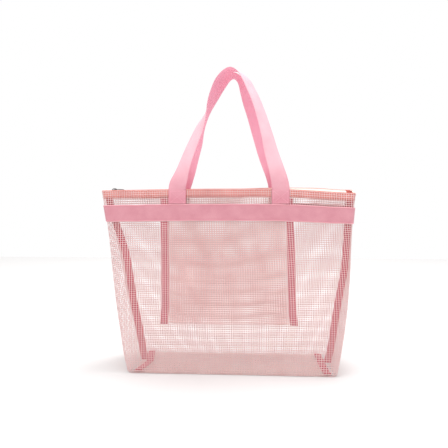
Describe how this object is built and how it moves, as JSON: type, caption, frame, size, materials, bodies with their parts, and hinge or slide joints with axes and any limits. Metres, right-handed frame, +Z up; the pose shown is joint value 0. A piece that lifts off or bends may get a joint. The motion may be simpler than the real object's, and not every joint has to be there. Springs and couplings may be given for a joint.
{
  "type": "beach bag",
  "caption": "Open-mesh tote bag with a boxed base, zip top, webbing band, two webbing handles that stand or fold down, and a hanging inner mesh pocket.",
  "frame": {"origin": "middle of the base, on the surface the bag stands on", "axes": "+Z up; X along the width; the face with the pocket behind it looks along -Y"},
  "size_m": [0.52, 0.13, 0.6061],
  "materials": {
    "mesh_cloth": "open square mesh of coated yarn, satin",
    "hem_cloth": "the same mesh, several layers folded and stitched",
    "binding_tape": "matt woven tape",
    "band_webbing": "matt woven webbing",
    "handle_webbing": "matt woven webbing",
    "zip_tape": "matt knitted tape",
    "zip_coil": "satin nylon coil",
    "gunmetal": "dark plated die casting, satin"
  },
  "bodies": {
    "bag": {"front_panel": "mesh_cloth", "back_panel": "mesh_cloth", "bottom_panel": "mesh_cloth", "left_gusset_front": "mesh_cloth", "left_gusset_back": "mesh_cloth", "right_gusset_front": "mesh_cloth", "right_gusset_back": "mesh_cloth", "front_hem": "hem_cloth", "back_hem": "hem_cloth", "left_side_binding": "binding_tape", "right_side_binding": "binding_tape", "left_corner_binding": "binding_tape", "right_corner_binding": "binding_tape", "pocket_outer_layer": "mesh_cloth", "pocket_inner_layer": "mesh_cloth", "pocket_fold": "mesh_cloth", "pocket_left_binding": "binding_tape", "pocket_right_binding": "binding_tape", "front_band": "band_webbing", "back_band": "band_webbing", "front_handle_left_end": "handle_webbing", "front_handle_right_end": "handle_webbing", "back_handle_left_end": "handle_webbing", "back_handle_right_end": "handle_webbing", "zip_left_end": "zip_tape", "zip_right_end": "zip_tape"},
    "front_handle": {"front_handle_loop": "handle_webbing"},
    "back_handle": {"back_handle_loop": "handle_webbing"},
    "zip_front_half": {"zip_front_tape": "zip_tape", "zip_front_coil": "zip_coil"},
    "zip_back_half": {"zip_back_tape": "zip_tape", "zip_back_coil": "zip_coil"},
    "slider": {"zip_slider": "gunmetal"},
    "pull": {"zip_pull": "gunmetal"}
  },
  "joints": [
    {"name": "front_handle_fold", "type": "hinge", "parent": "bag", "child": "front_handle", "pos_m": [0, -0.0179, 0.36], "axis": [1, 0, 0], "range_deg": [0, 140]},
    {"name": "back_handle_fold", "type": "hinge", "parent": "bag", "child": "back_handle", "pos_m": [0, 0.0179, 0.36], "axis": [-1, 0, 0], "range_deg": [0, 140]},
    {"name": "zip_front_open", "type": "hinge", "parent": "bag", "child": "zip_front_half", "pos_m": [0, -0.0125, 0.359], "axis": [-1, 0, 0], "range_deg": [0, 80]},
    {"name": "zip_back_open", "type": "hinge", "parent": "bag", "child": "zip_back_half", "pos_m": [0, 0.0125, 0.359], "axis": [1, 0, 0], "range_deg": [0, 80]},
    {"name": "slider_run", "type": "slide", "parent": "bag", "child": "slider", "axis": [1, 0, 0], "range_m": [0, 0.494]},
    {"name": "pull_swing", "type": "hinge", "parent": "slider", "child": "pull", "pos_m": [-0.247, 0, 0.36362], "axis": [0, -1, 0], "range_deg": [0, 165]}
  ],
  "couplings": [
    {"joint": "zip_back_open", "follows": "zip_front_open", "ratio": 1}
  ]
}
